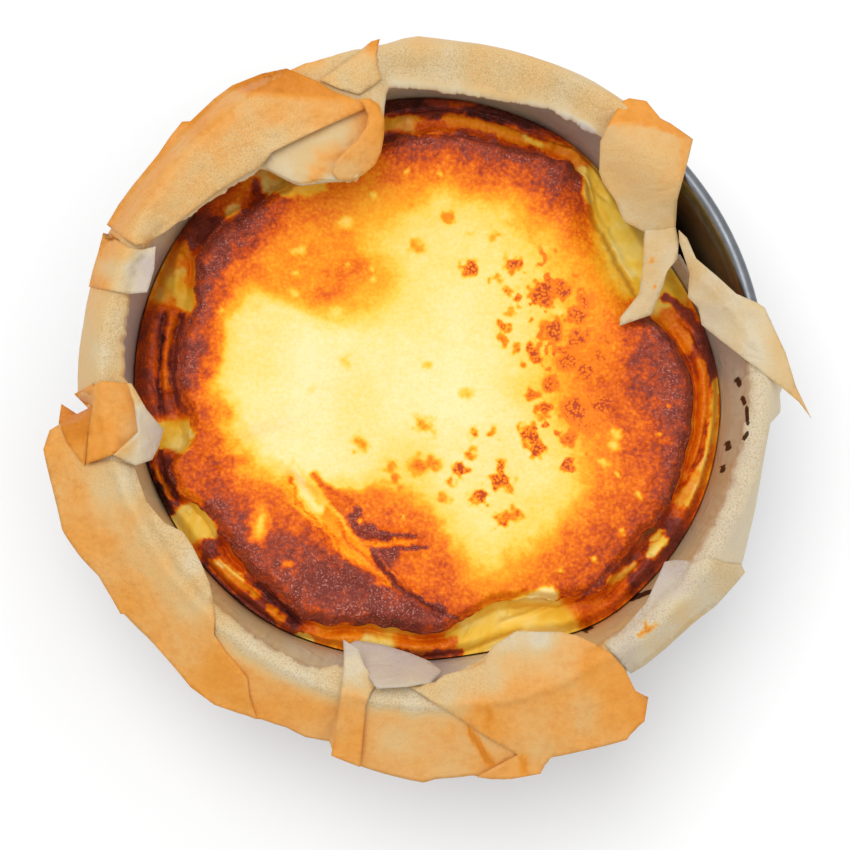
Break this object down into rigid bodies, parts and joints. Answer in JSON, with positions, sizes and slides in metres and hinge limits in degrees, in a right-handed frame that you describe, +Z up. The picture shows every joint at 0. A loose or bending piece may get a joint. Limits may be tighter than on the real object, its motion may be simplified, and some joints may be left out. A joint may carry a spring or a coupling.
{
  "type": "basque burnt cheesecake",
  "caption": "Round basque burnt cheesecake with a dark browned, folded top, baked in a plain round tin lined with parchment that folds over the rim.",
  "frame": {"origin": "centre of the tin's flat base, on the surface it stands on", "axes": "+Z up out of the open tin; +X is the right of the reference view from above and +Y its top"},
  "size_m": [0.2381, 0.239, 0.0744],
  "materials": {
    "tin_steel": "plain tinned steel, satin, browned by baking on its inner wall",
    "baking_parchment": "toasted greaseproof paper, creased and crumpled, slightly see-through",
    "baked_crust": "baked custard skin, cream yellow in the middle to dark burnt brown at the edge, slightly glossy"
  },
  "bodies": {
    "root": {"tin": "tin_steel", "parchment": "baking_parchment", "cheesecake": "baked_crust"}
  },
  "joints": []
}
